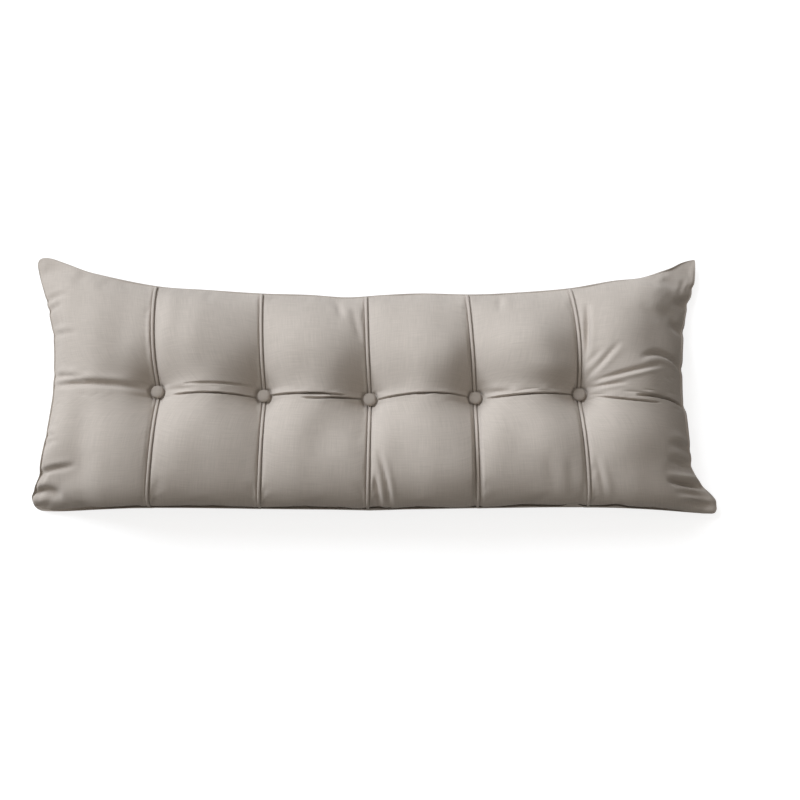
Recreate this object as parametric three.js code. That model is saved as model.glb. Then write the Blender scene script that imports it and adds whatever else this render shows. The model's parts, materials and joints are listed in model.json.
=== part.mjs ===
// A long reading pillow lying on its back: six plump front panels joined by five raised welts, each welt
// tied down in the middle by a cloth-covered button. Front and back meet in a knife-edge seam all round,
// which is drawn in between four pointed corners.
// Millimetres, +Z up. X runs along the pillow, +Y towards its upper edge, and the back rests on z = 0.

import * as THREE from "three";

// Heights above the floor of the front's main forms.
const HEIGHT = {
  crown: 178, // middle of a plump cell, half way from the button line to an edge
  valley: 157, // on the button line, midway between two buttons
  seam: 146, // on a welt, midway from a button to an edge
  button: 106, // flat spot that a button is pulled down to
  edge: 74, // knife-edge seam, midway between corners
  corner: 46, // knife-edge seam, at the four pointed corners
};

// How the height falls away, in shares of a panel's width or of the half height of the pillow.
const ROUNDING = {
  edgePower: 2.7, // how late the front turns down towards the knife edge
  edgeSharpness: 0.6, // how upright it meets the knife edge
  cornerThinning: 0.8, // share of the fill that is missing in a pointed corner
  panelPower: 2.5, // how late a panel turns down towards its welts
  valleyWidth: 0.24,
  buttonReach: 0.27,
  buttonPower: 1.6, // how evenly the front rises from a button
  cornerReach: 0.34, // share of a short edge over which the seam sinks towards a corner
  longEdgeReach: 0.42, // the same along a long edge, as a share of that
  cornerDelay: 2, // how much later the back falls away under a corner
  creaseFade: 0.7, // how late a crease runs out at its ends
};

const WELT = { width: 6.8, thickness: 4.2, crownWidth: 3.2, sideHeight: 2.2 };
const GROOVE = { halfFloor: 4.3, halfLip: 6.8, depth: 2.6 }; // trough in the cushion that a welt lies in
const BUTTON = {
  radius: 13.5,
  height: 8.5,
  footRadius: 11,
  rimHeight: 3,
  flatSpot: 14.5, // radius of the flat in the cushion that a button is pulled down to
  segments: 24,
  domeSteps: 5,
};
const CLEARANCE = 0.35; // between sewn-on pieces and what they lie on

// The five welts, left to right: x at the lower edge, half way up to the button, at the button, half way
// up to the top and at the upper edge, and the y of the button.
const WELTS = [
  { lower: -419, low: -408, button: -408, high: -416, upper: -425, buttonY: -30 },
  { lower: -208, low: -203, button: -203, high: -208, upper: -215, buttonY: -38 },
  { lower: -2, low: 0, button: 1, high: -4, upper: -8, buttonY: -45 },
  { lower: 207, low: 204, button: 204, high: 197, upper: 192, buttonY: -42 },
  { lower: 417, low: 409, button: 404, high: 404, upper: 396, buttonY: -35 },
];

// The knife edge seen from above. The upper and lower edges run from corner to corner.
const UPPER_EDGE = [
  { x: -675, y: 260 },
  { x: -647, y: 257 },
  { x: -616, y: 244 },
  { x: -554, y: 217 },
  { x: -424, y: 189 },
  { x: -320, y: 181 },
  { x: -216, y: 174 },
  { x: -3, y: 170 },
  { x: 195, y: 173 },
  { x: 398, y: 185 },
  { x: 488, y: 203 },
  { x: 552, y: 213 },
  { x: 610, y: 239 },
  { x: 636, y: 254 },
  { x: 653, y: 257 },
];
const LOWER_EDGE = [
  { x: -652, y: -252 },
  { x: -598, y: -251 },
  { x: -419, y: -241 },
  { x: -3, y: -244 },
  { x: 208, y: -240 },
  { x: 418, y: -239 },
  { x: 532, y: -247 },
  { x: 631, y: -256 },
  { x: 675, y: -260 },
];
// The two short edges: rise is -1 at the lower edge, 0 on the button line and 1 at the upper edge.
const LEFT_EDGE = [
  { rise: -1, x: -652 },
  { rise: -0.86, x: -654 },
  { rise: -0.7, x: -642 },
  { rise: -0.4, x: -628 },
  { rise: -0.12, x: -619 },
  { rise: 0.03, x: -616 },
  { rise: 0.4, x: -621 },
  { rise: 0.67, x: -640 },
  { rise: 0.85, x: -661 },
  { rise: 1, x: -675 },
];
const RIGHT_EDGE = [
  { rise: -1, x: 675 },
  { rise: -0.93, x: 673 },
  { rise: -0.86, x: 658 },
  { rise: -0.72, x: 631 },
  { rise: -0.4, x: 617 },
  { rise: -0.1, x: 613 },
  { rise: 0.03, x: 609 },
  { rise: 0.33, x: 612 },
  { rise: 0.6, x: 624 },
  { rise: 0.82, x: 647 },
  { rise: 1, x: 653 },
];
// Where the line of buttons runs out into the two short edges.
const BUTTON_LINE_ENDS = [
  { x: -616, y: -29 },
  { x: 609, y: -32 },
];

// Pulled creases in the front, each a soft trough along a bowed line: along the line of buttons, out from the
// right-hand button, in from the two short edges and at the welts' ends.
const CREASES = [
  { fromX: -388, fromY: -32, toX: -223, toY: -44, bow: 2, width: 7, depth: 8 },
  { fromX: -382, fromY: -21, toX: -227, toY: -25, bow: 5, width: 7, depth: 5 },
  { fromX: -183, fromY: -40, toX: -19, toY: -48, bow: 5, width: 7, depth: 8 },
  { fromX: 21, fromY: -47, toX: 183, toY: -43, bow: 13, width: 7, depth: 9 },
  { fromX: 223, fromY: -42, toX: 386, toY: -38, bow: 4, width: 7, depth: 8 },
  { fromX: 221, fromY: -35, toX: 324, toY: -24, bow: 3, width: 7, depth: 4 },
  { fromX: 427, fromY: -37, toX: 614, toY: -53, bow: -2, width: 9, depth: 8 },
  { fromX: 423, fromY: -25, toX: 582, toY: 18, bow: -5, width: 9, depth: 7 },
  { fromX: 417, fromY: -13, toX: 493, toY: 64, bow: -2, width: 9, depth: 5 },
  { fromX: 520, fromY: 34, toX: 660, toY: 54, bow: 0, width: 9, depth: 6 },
  { fromX: -608, fromY: -11, toX: -428, toY: -31, bow: 3, width: 12, depth: 6 },
  { fromX: -690, fromY: 170, toX: -570, toY: 158, bow: 0, width: 10, depth: 6 },
  { fromX: -680, fromY: 142, toX: -560, toY: 128, bow: 3, width: 10, depth: 8 },
  { fromX: -680, fromY: 92, toX: -540, toY: 86, bow: -3, width: 10, depth: 6 },
  { fromX: -680, fromY: -122, toX: -560, toY: -110, bow: 3, width: 10, depth: 6 },
  { fromX: -690, fromY: -188, toX: -570, toY: -165, bow: 0, width: 10, depth: 7 },
  { fromX: -690, fromY: -236, toX: -590, toY: -205, bow: 0, width: 9, depth: 6 },
  { fromX: 690, fromY: -218, toX: 570, toY: -180, bow: 4, width: 10, depth: 8 },
  { fromX: 690, fromY: 156, toX: 570, toY: 138, bow: -3, width: 10, depth: 5 },
  { fromX: 6, fromY: -160, toX: 52, toY: -236, bow: 4, width: 8, depth: 5 },
  { fromX: -52, fromY: 172, toX: -12, toY: 84, bow: -4, width: 9, depth: 5 },
  { fromX: 424, fromY: 182, toX: 412, toY: 90, bow: -4, width: 9, depth: 6 },
];

// Cross-sections of the back, from the knife edge to the flat it rests on. A negative inset bulges past
// the seam, and drop is the share of the seam's height that has been lost. The pointed corners are thin, so
// there the sections lie further in.
const BACK_RINGS = [
  { inset: -9, cornerInset: 2, drop: 0.32 },
  { inset: -1, cornerInset: 13, drop: 0.64 },
  { inset: 26, cornerInset: 34, drop: 0.9 },
  { inset: 62, cornerInset: 62, drop: 1 },
];

// Grid lines of the front. A panel has columns at these distances from a welt, then at these shares of
// its width, and a half has rows at these shares of the way from the button line to an edge.
const COLUMN_OFFSETS = [GROOVE.halfFloor, GROOVE.halfLip, BUTTON.flatSpot];
const COLUMN_SHARES = [0.17, 0.32, 0.5, 0.68, 0.83];
const END_SHARES = [0, 0.025, 0.07, 0.14, 0.24, 0.37, 0.52, 0.67, 0.81];
const ROW_SHARES = [
  0.02, 0.05, 0.085, 0.125, 0.17, 0.225, 0.29, 0.36, 0.43, 0.5, 0.57, 0.64, 0.71, 0.78, 0.85, 0.92, 0.98, 1,
];

const PANELS = WELTS.length + 1;
const PANEL_WIDTH = (WELTS.at(-1).button - WELTS[0].button) / (WELTS.length - 1);
const HALF_HEIGHT = 207; // from the line of buttons to the upper and lower edges, in the middle

const CLOTH = { color: 0xb7aea4, roughness: 0.9, metalness: 0 };

// A smooth function through a table's points, read from two of its columns.
function smoothThrough(rows, inputName, outputName) {
  const inputs = rows.map((row) => row[inputName]);
  const outputs = rows.map((row) => row[outputName]);
  const last = rows.length - 1;
  const slopes = inputs.map((_, i) => {
    const before = Math.max(i - 1, 0);
    const after = Math.min(i + 1, last);
    return (outputs[after] - outputs[before]) / (inputs[after] - inputs[before]);
  });
  return (input) => {
    if (input <= inputs[0]) return outputs[0] + slopes[0] * (input - inputs[0]);
    if (input >= inputs[last]) return outputs[last] + slopes[last] * (input - inputs[last]);
    const i = inputs.findIndex((value) => value > input) - 1;
    const span = inputs[i + 1] - inputs[i];
    const f = (input - inputs[i]) / span;
    const rise = outputs[i + 1] - outputs[i];
    const leave = slopes[i] * span - rise;
    const arrive = rise - slopes[i + 1] * span;
    return outputs[i] + rise * f + f * (1 - f) * (leave * (1 - f) + arrive * f);
  };
}

const mix = THREE.MathUtils.lerp;
const clamp = THREE.MathUtils.clamp;

const upperEdgeY = smoothThrough(UPPER_EDGE, "x", "y");
const lowerEdgeY = smoothThrough(LOWER_EDGE, "x", "y");
const [lineStart, lineEnd] = BUTTON_LINE_ENDS;
const buttonPlaces = WELTS.map((welt) => ({ x: welt.button, y: welt.buttonY }));
const buttonLineY = smoothThrough([lineStart, ...buttonPlaces, lineEnd], "x", "y");

// The x of a welt at a rise: two bowed stretches that meet at the button.
function weltX(welt, rise) {
  const ends = rise < 0 ? [welt.lower, welt.low] : [welt.upper, welt.high];
  const way = Math.abs(rise);
  const bow = 4 * (ends[1] - (welt.button + ends[0]) / 2);
  return mix(welt.button, ends[0], way) + bow * way * (1 - way);
}

// The lines that part the panels: the left edge, the welts and the right edge.
const lines = [
  smoothThrough(LEFT_EDGE, "rise", "x"),
  ...WELTS.map((welt) => (rise) => weltX(welt, rise)),
  smoothThrough(RIGHT_EDGE, "rise", "x"),
];

// A place on the pillow seen from above. Across counts panels from 0 at the left edge to 6 at the right.
function planAt(across, rise) {
  const panel = clamp(Math.floor(across), 0, PANELS - 1);
  const x = mix(lines[panel](rise), lines[panel + 1](rise), across - panel);
  const endY = rise < 0 ? lowerEdgeY(x) : upperEdgeY(x);
  return { x, y: mix(buttonLineY(x), endY, Math.abs(rise)) };
}

// Full in the middle, falling to 0 at an edge that lies at way 1.
function plumpness(way) {
  return (1 - clamp(way, 0, 1) ** ROUNDING.edgePower) ** ROUNDING.edgeSharpness;
}

// How near a place on an edge is to a corner, from 0 to 1.
function cornerNearness(across, rise) {
  const fromEnd = Math.min(across, PANELS - across) / (PANELS / 2);
  const fromRim = 1 - Math.abs(rise);
  const away = Math.max(fromEnd / ROUNDING.longEdgeReach, fromRim);
  return Math.exp(-((away / ROUNDING.cornerReach) ** 2));
}

// Height of the knife edge, carried on inwards over the whole pillow.
function edgeHeight(across, rise) {
  return mix(HEIGHT.edge, HEIGHT.corner, cornerNearness(across, rise));
}

// How far the creases sink the front at a place.
function creaseDepth({ x, y }) {
  let sunk = 0;
  for (const crease of CREASES) {
    const along = new THREE.Vector2(crease.toX - crease.fromX, crease.toY - crease.fromY);
    const length = along.length();
    along.divideScalar(length);
    const fromStart = new THREE.Vector2(x - crease.fromX, y - crease.fromY);
    const share = fromStart.dot(along) / length;
    if (share <= 0 || share >= 1) continue;
    const fade = Math.sin(Math.PI * share) ** ROUNDING.creaseFade;
    const offLine = along.cross(fromStart) - crease.bow * 4 * share * (1 - share);
    sunk += crease.depth * fade * Math.exp(-((offLine / crease.width) ** 2));
  }
  return sunk;
}

// Height of the front's cloth at a place, without the trough that a welt lies in.
function frontHeight(across, rise) {
  const way = Math.abs(rise);
  const plan = planAt(across, rise);
  const nearestWelt = clamp(Math.round(across), 1, PANELS - 1);
  const offWelt = Math.abs(plan.x - lines[nearestWelt](rise));
  const halfPanel = PANEL_WIDTH / 2;

  const valley = Math.exp(-((way / ROUNDING.valleyWidth) ** 2));
  const middle = mix(HEIGHT.crown, HEIGHT.valley, valley);
  const offButton = Math.max(way - BUTTON.flatSpot / HALF_HEIGHT, 0);
  const pull = Math.exp(-((offButton / ROUNDING.buttonReach) ** ROUNDING.buttonPower));
  const onWelt = mix(HEIGHT.seam, HEIGHT.button, pull);
  const flatHalf = mix(GROOVE.halfLip, BUTTON.flatSpot, pull);
  const nearWelt = clamp(1 - (offWelt - flatHalf) / (halfPanel - flatHalf), 0, 1);
  const level = mix(middle, onWelt, nearWelt ** ROUNDING.panelPower);

  const wayToEnd = 1 - Math.min(across, PANELS - across, 1);
  const rim = plumpness(way);
  const end = plumpness(wayToEnd);
  const thin = 1 - ROUNDING.cornerThinning * Math.sqrt((1 - rim) * (1 - end));
  const base = edgeHeight(across, rise);
  return base + (level - base) * rim * end * thin - creaseDepth(plan) * Math.min(rim, end);
}

// Height of the trough's floor under a welt.
function grooveFloor(weltIndex, rise) {
  return frontHeight(weltIndex + 1, rise) - GROOVE.depth * plumpness(Math.abs(rise));
}

// The front's columns, each with its place across and the welt whose trough it is the floor of, if any.
function frontColumns() {
  const columns = END_SHARES.map((share) => ({ across: share }));
  const offsetShares = COLUMN_OFFSETS.map((offset) => offset / PANEL_WIDTH);
  WELTS.forEach((_, i) => {
    const welt = i + 1;
    for (const share of [...offsetShares].reverse()) {
      columns.push({ across: welt - share, floorOf: share === offsetShares[0] ? i : undefined });
    }
    for (const share of offsetShares) {
      columns.push({ across: welt + share, floorOf: share === offsetShares[0] ? i : undefined });
    }
    if (welt < WELTS.length) COLUMN_SHARES.forEach((share) => columns.push({ across: welt + share }));
  });
  END_SHARES.toReversed().forEach((share) => columns.push({ across: PANELS - share }));
  return columns;
}

const rows = [...ROW_SHARES.map((share) => -share).reverse(), 0, ...ROW_SHARES];

// A point of the back's ring under a place on the knife edge.
function backPoint(across, rise, ring) {
  const nearCorner = cornerNearness(across, rise);
  const inset = mix(ring.inset, ring.cornerInset, nearCorner) / PANEL_WIDTH;
  const half = PANELS / 2;
  const plan = planAt(half + (across - half) * (1 - inset / half), rise * (1 - inset));
  const drop = ring.drop ** (1 + ROUNDING.cornerDelay * nearCorner);
  return [plan.x, plan.y, edgeHeight(across, rise) * (1 - drop)];
}

// The filled cushion as one closed solid: the front's grid, then the back's rings, then the flat it rests on.
function cushionGeometry() {
  const columns = frontColumns();
  const positions = [];
  const triangles = [];
  for (const rise of rows) {
    for (const { across, floorOf } of columns) {
      const plan = planAt(across, rise);
      const z = floorOf === undefined ? frontHeight(across, rise) : grooveFloor(floorOf, rise);
      positions.push(plan.x, plan.y, z);
    }
  }
  const wide = columns.length;
  const tall = rows.length;
  const frontIndex = (row, column) => row * wide + column;
  for (let row = 0; row < tall - 1; row++) {
    for (let column = 0; column < wide - 1; column++) {
      const a = frontIndex(row, column);
      const b = frontIndex(row, column + 1);
      const c = frontIndex(row + 1, column + 1);
      const d = frontIndex(row + 1, column);
      triangles.push(a, b, c, a, c, d);
    }
  }

  // The knife edge, once round counter-clockwise from the lower left corner.
  const rim = [];
  for (let column = 0; column < wide - 1; column++) rim.push([0, column]);
  for (let row = 0; row < tall - 1; row++) rim.push([row, wide - 1]);
  for (let column = wide - 1; column > 0; column--) rim.push([tall - 1, column]);
  for (let row = tall - 1; row > 0; row--) rim.push([row, 0]);

  let above = rim.map(([row, column]) => frontIndex(row, column));
  for (const ring of BACK_RINGS) {
    const first = positions.length / 3;
    rim.forEach(([row, column]) => positions.push(...backPoint(columns[column].across, rows[row], ring)));
    const below = rim.map((_, i) => first + i);
    rim.forEach((_, i) => {
      const next = (i + 1) % rim.length;
      triangles.push(above[i], below[i], below[next], above[i], below[next], above[next]);
    });
    above = below;
  }

  const flat = above.map((i) => new THREE.Vector2(positions[3 * i], positions[3 * i + 1]));
  for (const [a, b, c] of THREE.ShapeUtils.triangulateShape(flat, [])) {
    triangles.push(above[a], above[c], above[b]);
  }
  return closedGeometry(positions, triangles);
}

function closedGeometry(positions, triangles) {
  const geometry = new THREE.BufferGeometry();
  geometry.setAttribute("position", new THREE.Float32BufferAttribute(positions, 3));
  geometry.setIndex(triangles);
  geometry.computeVertexNormals();
  return geometry;
}

// The steps of a welt along its trough: the rise, the floor's height and the way that is up from the cloth.
function weltSteps(weltIndex) {
  const points = rows.map((rise) => {
    const { x, y } = planAt(weltIndex + 1, rise);
    return new THREE.Vector3(x, y, grooveFloor(weltIndex, rise));
  });
  const steps = rows.map((rise, i) => {
    const along = points[Math.min(i + 1, rows.length - 1)].clone().sub(points[Math.max(i - 1, 0)]);
    return { rise, floor: points[i].z, up: new THREE.Vector3(1, 0, 0).cross(along).normalize() };
  });
  return steps.slice(1, -1);
}

// A welt: a rounded strip of folded cloth that follows its trough from edge to edge, under its button.
function weltGeometry(weltIndex) {
  const half = WELT.width / 2;
  const section = [
    { side: -half, lift: 0 },
    { side: half, lift: 0 },
    { side: half, lift: WELT.sideHeight },
    { side: WELT.crownWidth / 2, lift: WELT.thickness },
    { side: -WELT.crownWidth / 2, lift: WELT.thickness },
    { side: -half, lift: WELT.sideHeight },
  ];
  const steps = weltSteps(weltIndex);
  const positions = [];
  const triangles = [];
  for (const { rise, floor, up } of steps) {
    for (const { side, lift } of section) {
      const { x, y } = planAt(weltIndex + 1 + side / PANEL_WIDTH, rise);
      const point = new THREE.Vector3(x, y, floor).addScaledVector(up, lift + CLEARANCE);
      positions.push(point.x, point.y, point.z);
    }
  }
  const sides = section.length;
  for (let step = 0; step < steps.length - 1; step++) {
    for (let i = 0; i < sides; i++) {
      const next = (i + 1) % sides;
      const a = step * sides + i;
      const b = step * sides + next;
      triangles.push(a, a + sides, b + sides, a, b + sides, b);
    }
  }
  const lastRing = (steps.length - 1) * sides;
  for (let i = 1; i < sides - 1; i++) {
    triangles.push(0, i, i + 1);
    triangles.push(lastRing, lastRing + i + 1, lastRing + i);
  }
  return closedGeometry(positions, triangles);
}

// A cloth-covered button: a low dome with a rolled rim.
function buttonGeometry() {
  const profile = [new THREE.Vector2(0, 0), new THREE.Vector2(BUTTON.footRadius, 0)];
  for (let i = 0; i <= BUTTON.domeSteps; i++) {
    const angle = (i / BUTTON.domeSteps) * (Math.PI / 2);
    const z = BUTTON.rimHeight + (BUTTON.height - BUTTON.rimHeight) * Math.sin(angle);
    profile.push(new THREE.Vector2(i === BUTTON.domeSteps ? 0 : BUTTON.radius * Math.cos(angle), z));
  }
  return new THREE.LatheGeometry(profile, BUTTON.segments).rotateX(Math.PI / 2);
}

function namedMesh(name, geometry) {
  const mesh = new THREE.Mesh(geometry, new THREE.MeshStandardMaterial(CLOTH));
  mesh.name = name;
  return mesh;
}

const pillow = new THREE.Group();
pillow.add(namedMesh("cushion", cushionGeometry()));
WELTS.forEach((welt, i) => {
  pillow.add(namedMesh(`welt_${i + 1}`, weltGeometry(i)));
  const button = namedMesh(`button_${i + 1}`, buttonGeometry());
  const seat = grooveFloor(i, 0) + CLEARANCE + WELT.thickness + CLEARANCE;
  button.position.set(welt.button, welt.buttonY, seat);
  pillow.add(button);
});

export default pillow;
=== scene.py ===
"""A button-tufted reading pillow that lies on its back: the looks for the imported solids.

The pillow's shape is worked out in millimetres, close to the solids that it replaces, and turned into metres
when a mesh is made. Two numbers place a point of the front: across counts the panels from the left edge, 0 to
6, with a welt at each whole number between, and rise goes from -1 at the lower edge past 0 on the button line
to 1 at the upper edge. +X runs along the pillow, +Y towards its upper edge and +Z out of its front.
"""
import json
import math
from collections import namedtuple

import bmesh
import bpy
import numpy as np
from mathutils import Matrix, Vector, noise


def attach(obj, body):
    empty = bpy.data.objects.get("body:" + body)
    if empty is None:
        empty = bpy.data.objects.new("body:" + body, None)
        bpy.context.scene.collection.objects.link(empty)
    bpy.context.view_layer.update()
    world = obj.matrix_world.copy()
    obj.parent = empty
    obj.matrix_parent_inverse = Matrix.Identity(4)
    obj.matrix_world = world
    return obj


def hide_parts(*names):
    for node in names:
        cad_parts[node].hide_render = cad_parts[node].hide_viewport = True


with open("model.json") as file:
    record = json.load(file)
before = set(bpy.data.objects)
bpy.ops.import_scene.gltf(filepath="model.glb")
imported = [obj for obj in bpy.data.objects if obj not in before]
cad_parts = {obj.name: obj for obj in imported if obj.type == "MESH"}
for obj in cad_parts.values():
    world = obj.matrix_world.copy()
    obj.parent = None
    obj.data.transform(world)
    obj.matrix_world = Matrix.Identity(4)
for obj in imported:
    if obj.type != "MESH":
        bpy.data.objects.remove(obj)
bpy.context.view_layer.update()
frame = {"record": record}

MM = 0.001
PANELS = 6

# From the button line to a long edge, on average
HALF_HEIGHT = 207

# Heights over the surface that the pillow lies on
UPPER_CROWN_HEIGHT = 176
LOWER_CROWN_HEIGHT = 164
VALLEY_HEIGHT = 147
SEAM_HEIGHT = 154
BUTTON_HEIGHT = 100
EDGE_HEIGHT = 74
LOWER_EDGE_HEIGHT = 79
LEFT_EDGE_HEIGHT = 90
RIGHT_EDGE_HEIGHT = 40
LOWER_LEFT_HEIGHT = 46
UPPER_LEFT_HEIGHT = 46
LOWER_RIGHT_HEIGHT = 14
UPPER_RIGHT_HEIGHT = 14

# Where the seam is lifted or, below zero, sinks: place, how far that reaches and its height
Lift = namedtuple("Lift", "across rise reach_across reach_rise height")
LIFTS = (
    Lift(0, -0.7, 0.35, 0.2, 14),
    Lift(0.2, -1, 0.45, 0.35, -42),
    Lift(PANELS, 0.6, 0.3, 0.22, -16),
)

# How near the lower edge, as a share of the way to it, its own height and its own back begin
LOWER_HEIGHT_FROM = 0.5
LOWER_BACK_FROM = 0.8

# How the front rounds off towards its seams, valleys, buttons and corners: powers and thinnings are plain
# numbers, and reaches are shares of the way from the button line to an edge or from an end to the middle
Rounding = namedtuple("Rounding", "power sharpness")
UPPER_ROUNDING = Rounding(2.0, 0.8)
LOWER_ROUNDING = Rounding(2.8, 0.46)
LEFT_ROUNDING = Rounding(2.7, 0.6)
RIGHT_ROUNDING = Rounding(2.0, 0.75)
PANEL_POWER = 2.0
DIMPLE_POWER = 2.9
CORNER_THINNING = 0.8
RIGHT_CORNER_THINNING = 0.5
VALLEY_REACH = 0.34
BUTTON_REACH = 0.27
BUTTON_POWER = 1.15
CORNER_REACH = 0.34
LONG_EDGE_REACH = 0.42
UPPER_RIGHT_EDGE_REACH = 0.22

# The welts, the grooves that they lie in and the covered buttons
WELT_WIDTH = 5.6
WELT_THICKNESS = 5.6
WELT_SIDES = 14
WELT_SIDE_POWER = 0.7
WELT_TOP_POWER = 0.8
WELT_STEP = 2
GROOVE_FLOOR = 3.1
GROOVE_LIP = 5.2
GROOVE_DEPTH = 4.8
CLEARANCE = 0.35
BUTTON_RADIUS = 12.6
BUTTON_DEPTH = 8.5
BUTTON_FLAT = 11.5
BUTTON_TURNS = 48

# A button's section from its gathered rim to near its top, as shares of its radius and depth
BUTTON_PROFILE = (
    (0.8, 0), (0.95, 0.12), (1, 0.3), (0.985, 0.48), (0.93, 0.66), (0.82, 0.8), (0.64, 0.91), (0.42, 0.97),
    (0.2, 0.995),
)

# Each welt's x at the lower edge, half way down, at its button, half way up and at the upper edge, its
# button's y, and how much higher it is sewn below and above the button
Welt = namedtuple("Welt", "lower low button high upper button_y lower_lift upper_lift")
WELTS = (
    Welt(-419, -408, -408, -416, -425, -30, 8, 12),
    Welt(-208, -203, -203, -208, -215, -38, 0, 0),
    Welt(-2, 0, 1, -4, -8, -45, 4, 0),
    Welt(207, 204, 204, 197, 192, -42, 2, 4),
    Welt(417, 409, 404, 404, 396, -35, 0, -9),
)
PANEL_WIDTH = (WELTS[-1].button - WELTS[0].button) / (len(WELTS) - 1)

# The outline: x and y along the long edges, rise and x along the short ones
UPPER_EDGE = (
    (-675, 260), (-647, 257), (-616, 244), (-554, 217), (-424, 189), (-320, 181), (-216, 174), (-120, 171),
    (-46, 166), (30, 171), (100, 174), (195, 172), (260, 174), (398, 185), (488, 203), (552, 214), (610, 241),
    (628, 253), (646, 262), (664, 267),
)
LOWER_EDGE = (
    (-657, -248), (-598, -249), (-500, -250), (-419, -249), (-3, -253), (208, -250), (418, -248), (532, -251),
    (631, -253), (678, -254),
)
LEFT_EDGE = (
    (-1, -657), (-0.93, -660), (-0.86, -661), (-0.78, -646), (-0.7, -636), (-0.4, -621), (-0.12, -613),
    (0.03, -611), (0.4, -617), (0.67, -641), (0.85, -663), (1, -677),
)
RIGHT_EDGE = (
    (-1, 676), (-0.95, 681), (-0.9, 680), (-0.86, 672), (-0.8, 658), (-0.72, 641), (-0.64, 631), (-0.4, 625),
    (-0.1, 620), (0.03, 615), (0.33, 620), (0.6, 634), (0.82, 658), (0.9, 662), (1, 664),
)
BUTTON_LINE_ENDS = ((-616, -29), (609, -32))

# The cover beyond the seam, along the lower edge, along the others and at the corners: out over the seam's
# turned edge, then down and in to the flat that it lies on. Each step has its inset from the seam and its
# share of the way down.
Step = namedtuple("Step", "inset drop")
LOWER_BACK = (
    Step(0, 0), Step(-0.4, -0.02), Step(-0.9, -0.02), Step(-1.1, 0.02), Step(-0.9, 0.08), Step(0, 0.2),
    Step(2, 0.45), Step(8, 0.7), Step(29, 0.9), Step(62, 1),
)
OTHER_BACK = (
    Step(0, 0), Step(-1.2, -0.02), Step(-2.6, -0.02), Step(-3.6, 0.02), Step(-4, 0.08), Step(-6.5, 0.2),
    Step(-8.5, 0.38), Step(-1, 0.66), Step(26, 0.9), Step(62, 1),
)
CORNER_BACK = (
    Step(0, 0), Step(-0.6, -0.02), Step(-1, 0), Step(-0.8, 0.03), Step(0, 0.06), Step(3, 0.12),
    Step(8, 0.24), Step(18, 0.45), Step(36, 0.78), Step(62, 1),
)

# How many steps are held while the cover is filled, how far beyond a groove's lip it is held too, how far the
# lower seam is tucked in and how deep, and the rings that close the flat, as shares of its size
PINNED_STEPS = 5
HELD_MARGIN = 0.5
SEAM_TUCK = 7
SEAM_DEPTH = 20
BASE_SCALES = (0.7, 0.25)

# How round each corner's tip is in plan: left or right end, lower or upper edge, radius
Tip = namedtuple("Tip", "across rise radius")
TIPS = (Tip(0, -1, 15), Tip(0, 1, 15), Tip(PANELS, -1, 4), Tip(PANELS, 1, 3))

# Creases of the front: a line, how far it bows to its left, how wide and deep it is, and how high the roll of
# cloth on its left stands, or below zero the roll on its right. Slits are narrow and sharp, folds are soft.
Crease = namedtuple("Crease", "from_x from_y to_x to_y bow width depth roll")
SLITS = (
    # along the button line
    Crease(-372, -41, -213, -42, 0, 1.3, 11, 4.5),
    Crease(-352, -23, -224, -22, 0, 2, 4, 1),
    Crease(-194, -37, -45, -43, -2, 1.3, 12, 4.5),
    Crease(-126, -50, -9, -43, -3.5, 1.4, 12, 1),
    Crease(12, -47, 196, -41, 1.5, 1.2, 10, 4.5),
    Crease(226, -46, 398, -35, -3, 1.3, 11, 4.5),
    # drawn from the last button to the right edge
    Crease(433, -43, 556, -53, -4, 1.5, 8, 1.5),
    Crease(508, -43, 630, -47, 4, 2.2, 13, 2),
)
FOLDS = (
    # along the button line
    Crease(-625, -16, -415, -27, 0, 6, 9, 2),
    Crease(-392, -28, -322, -35, 0, 5, 3, 1),
    Crease(212, -34, 276, -38, 0, 5, 4, 1),
    # drawn from the last button to the right edge
    Crease(419, -26, 492, -18, 0, 3.5, 4, -2),
    Crease(428, -14, 572, 28, -2, 4, 7, -3),
    Crease(516, 30, 618, 30, 16, 5, 9, -3),
    Crease(416, -8, 482, 62, 0, 4.5, 5, -2),
    Crease(410, 14, 448, 50, 0, 5, 3, -1),
    Crease(590, 46, 618, 34, 0, 5, 4, -2),
    # running in from the left edge
    Crease(-668, 160, -590, 172, 0, 5, 4, 2),
    Crease(-652, 138, -602, 148, 0, 5, 5, 2),
    Crease(-632, 88, -560, 82, 0, 5, 3, 2),
    Crease(-630, 6, -541, -9, 0, 5, 3, 2),
    Crease(-632, -112, -594, -118, 0, 4.5, 4, 2),
    Crease(-632, -127, -590, -128, 0, 4.5, 3, 2),
    Crease(-660, -184, -556, -178, 0, 5, 7, 2),
    Crease(-700, -206, -590, -226, 0, 8, 15, 2),
    Crease(-690, -241, -626, -244, 0, 6, 6, 1),
    # running in from the right edge
    Crease(566, -200, 676, -203, 0, 5.5, 20, 7),
    Crease(566, -160, 642, -164, 0, 7, 6, 3),
    Crease(570, -128, 640, -132, 0, 7, 5, 3),
    Crease(586, -222, 664, -226, 3, 5, 6, -2),
    Crease(600, -238, 684, -243, 3, 5, 7, -3),
    Crease(586, 114, 640, 110, 0, 9, 3, 2),
    Crease(600, 160, 664, 178, 0, 8, 5, 2),
    # beside the welts
    Crease(425, 150, 414, 26, 0, 5, 10, 2),
    Crease(17, -150, 40, -256, 3, 4.5, 8, 3.5),
    Crease(11, -196, 22, -256, 0, 4.5, 6, 2.5),
    Crease(-66, 164, -53, 106, 0, 7, 3, 1),
    Crease(-37, 148, -16, 58, 0, 7, 2.5, 1),
    Crease(259, 178, 251, 120, 0, 7, 2.5, 1),
    Crease(425, -160, 447, -240, 0, 5, 3, 2),
    Crease(330, -150, 352, -236, 0, 12, 1.4, 1),
    Crease(372, -160, 384, -236, 0, 10, 1.4, 1),
)

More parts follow.
